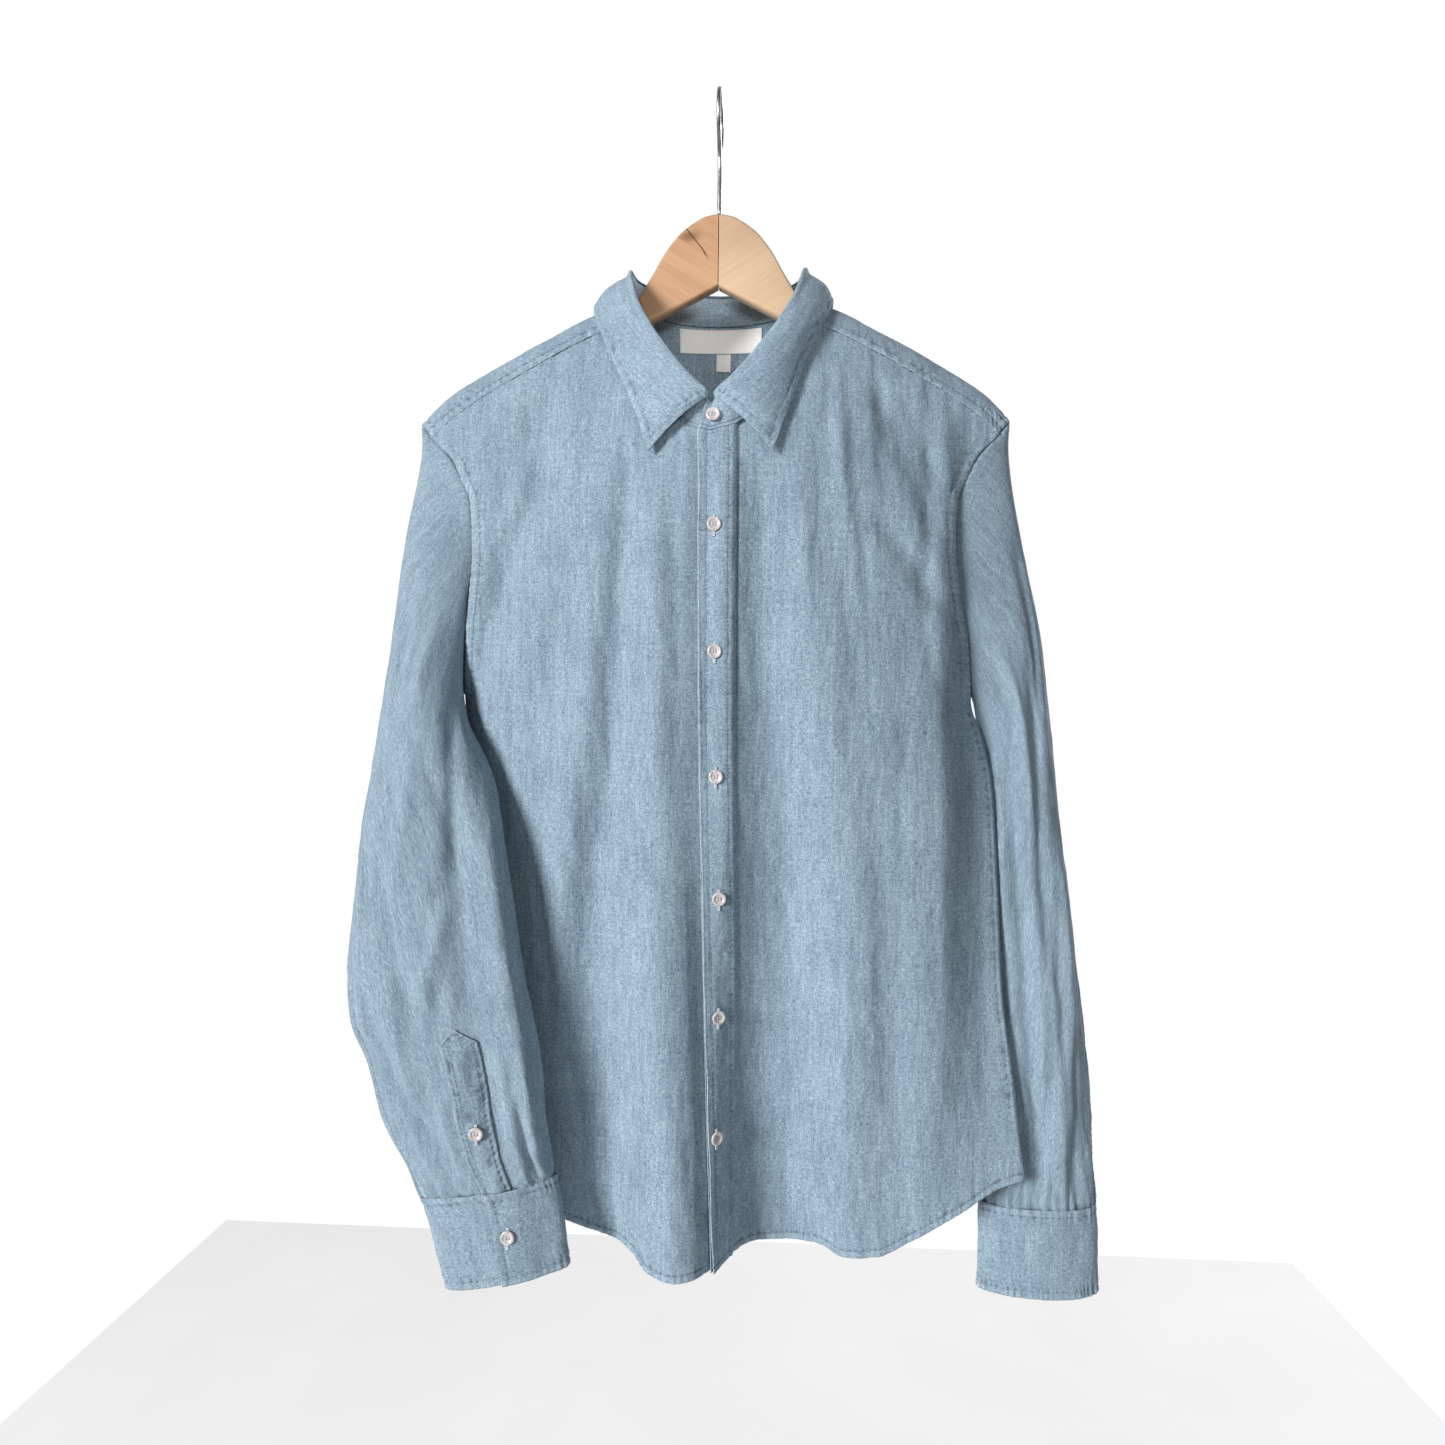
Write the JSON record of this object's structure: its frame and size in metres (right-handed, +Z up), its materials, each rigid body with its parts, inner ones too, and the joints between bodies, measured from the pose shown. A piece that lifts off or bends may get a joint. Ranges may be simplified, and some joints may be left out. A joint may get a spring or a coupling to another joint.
{
  "type": "long-sleeved chambray shirt on a wooden hanger",
  "caption": "Long-sleeved buttoned chambray shirt with a folded collar, front placket and barrel cuffs, hanging open-hemmed on a two-part wooden hanger with a steel hook.",
  "frame": {"origin": "inside top of the hook's bend, where it rests on what holds it", "axes": "+X towards the wearer's left, -Y is the front of the shirt, +Z up"},
  "size_m": [0.5493, 0.139, 0.8988],
  "materials": {
    "chambray": "mid-blue chambray, woven with a white weft",
    "button": "grey-pink pearly, polished",
    "label": "white woven label, bare",
    "wood_light": "pale lacquered wood",
    "wood_dark": "orange-brown lacquered wood",
    "steel": "dull steel wire"
  },
  "bodies": {
    "root": {"front_right": "chambray", "front_left": "chambray", "placket_front": "chambray", "back": "chambray", "yoke": "chambray", "collar_stand": "chambray", "collar_leaf": "chambray", "sleeve_right": "chambray", "sleeve_left": "chambray", "sleeve_placket_right": "chambray", "sleeve_placket_left": "chambray", "cuff_right": "chambray", "cuff_left": "chambray", "button_neck": "button", "button_front_1": "button", "button_front_2": "button", "button_front_3": "button", "button_front_4": "button", "button_front_5": "button", "button_front_6": "button", "button_cuff_right": "button", "button_cuff_left": "button", "button_gauntlet_right": "button", "button_gauntlet_left": "button", "neck_label": "label", "size_tab": "label", "hanger_arm_right": "wood_dark", "hanger_arm_left": "wood_light", "hanger_hook": "steel"}
  },
  "joints": []
}
